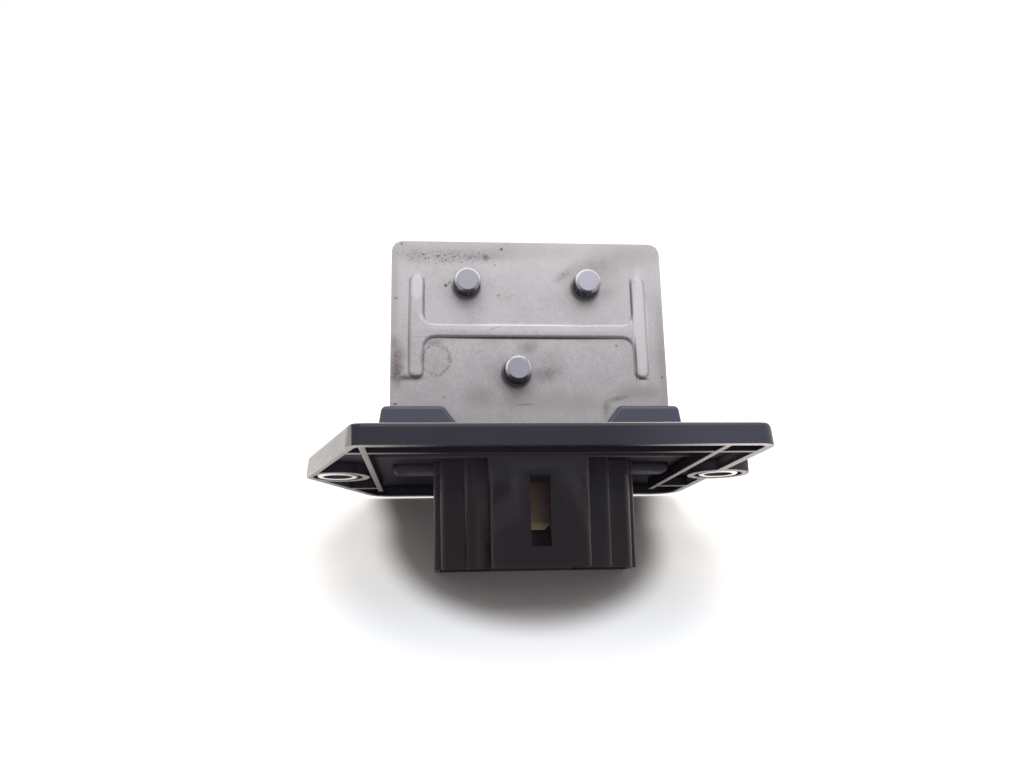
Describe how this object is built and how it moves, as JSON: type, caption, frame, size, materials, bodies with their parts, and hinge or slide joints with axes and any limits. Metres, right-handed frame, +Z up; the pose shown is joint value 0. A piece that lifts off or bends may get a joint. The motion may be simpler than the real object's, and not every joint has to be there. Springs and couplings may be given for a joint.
{
  "type": "blower motor resistor",
  "caption": "Blower motor resistor: riveted heat plates clasped upright on a moulded flange with screw ears, and a stepped connector socket below.",
  "frame": {"origin": "midway between the two fixing screws, on the flange's flat face that seats on the air duct", "axes": "+Z up the heat plates and out of the flange face into the duct; X runs from screw to screw, with the rounded corner end of the flange at +X; -Y is the riveted side of the plates"},
  "size_m": [0.0786, 0.0595, 0.0598],
  "materials": {
    "moulding": "black glass-filled moulding, slightly glossy",
    "plate": "dull rolled sheet with a fine grain",
    "mica": "pressed mica board",
    "grid": "stamped resistance alloy strip",
    "rivet": "bluish plated steel",
    "bushing": "bright plated steel",
    "terminal": "plain stamped brass",
    "fuse": "drawn metal case",
    "lead": "tinned wire"
  },
  "bodies": {
    "root": {"base_housing": "moulding", "heat_plate_front": "plate", "heat_plate_rear": "plate", "mica_sheet_front": "mica", "mica_sheet_rear": "mica", "resistance_grid": "grid", "rivet_upper_left": "rivet", "rivet_upper_right": "rivet", "rivet_lower": "rivet", "screw_bushing_left": "bushing", "screw_bushing_right": "bushing", "terminal_blade_1": "terminal", "terminal_blade_2": "terminal", "terminal_blade_3": "terminal", "thermal_fuse": "fuse", "fuse_lead_to_grid": "lead", "fuse_lead_to_terminal": "lead"}
  },
  "joints": []
}
